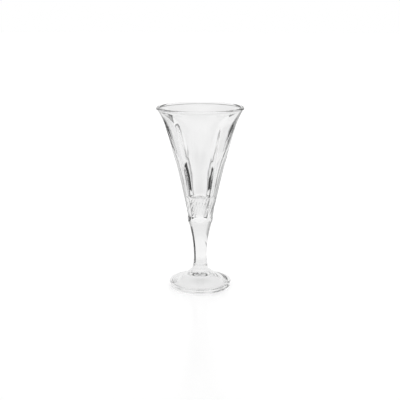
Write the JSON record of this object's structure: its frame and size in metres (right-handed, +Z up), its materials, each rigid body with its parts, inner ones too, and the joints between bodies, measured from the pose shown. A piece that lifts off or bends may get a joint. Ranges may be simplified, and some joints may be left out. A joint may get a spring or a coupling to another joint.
{
  "type": "wine goblet",
  "caption": "Clear pressed-glass wine goblet with a flared bowl in tall arched panels, a solid drawn stem and a domed round foot with a rounded lip.",
  "frame": {"origin": "centre of the plane that the foot rests on", "axes": "+Z up along the goblet's axis, -Y towards the front, where one arched panel faces the viewer"},
  "size_m": [0.0894, 0.0894, 0.1892],
  "materials": {
    "bowl_glass": "clear pressed glass, fire-polished",
    "stem_glass": "clear drawn glass, smooth",
    "foot_glass": "clear pressed glass, fire-polished"
  },
  "bodies": {
    "root": {"bowl": "bowl_glass", "stem": "stem_glass", "foot": "foot_glass"}
  },
  "joints": []
}
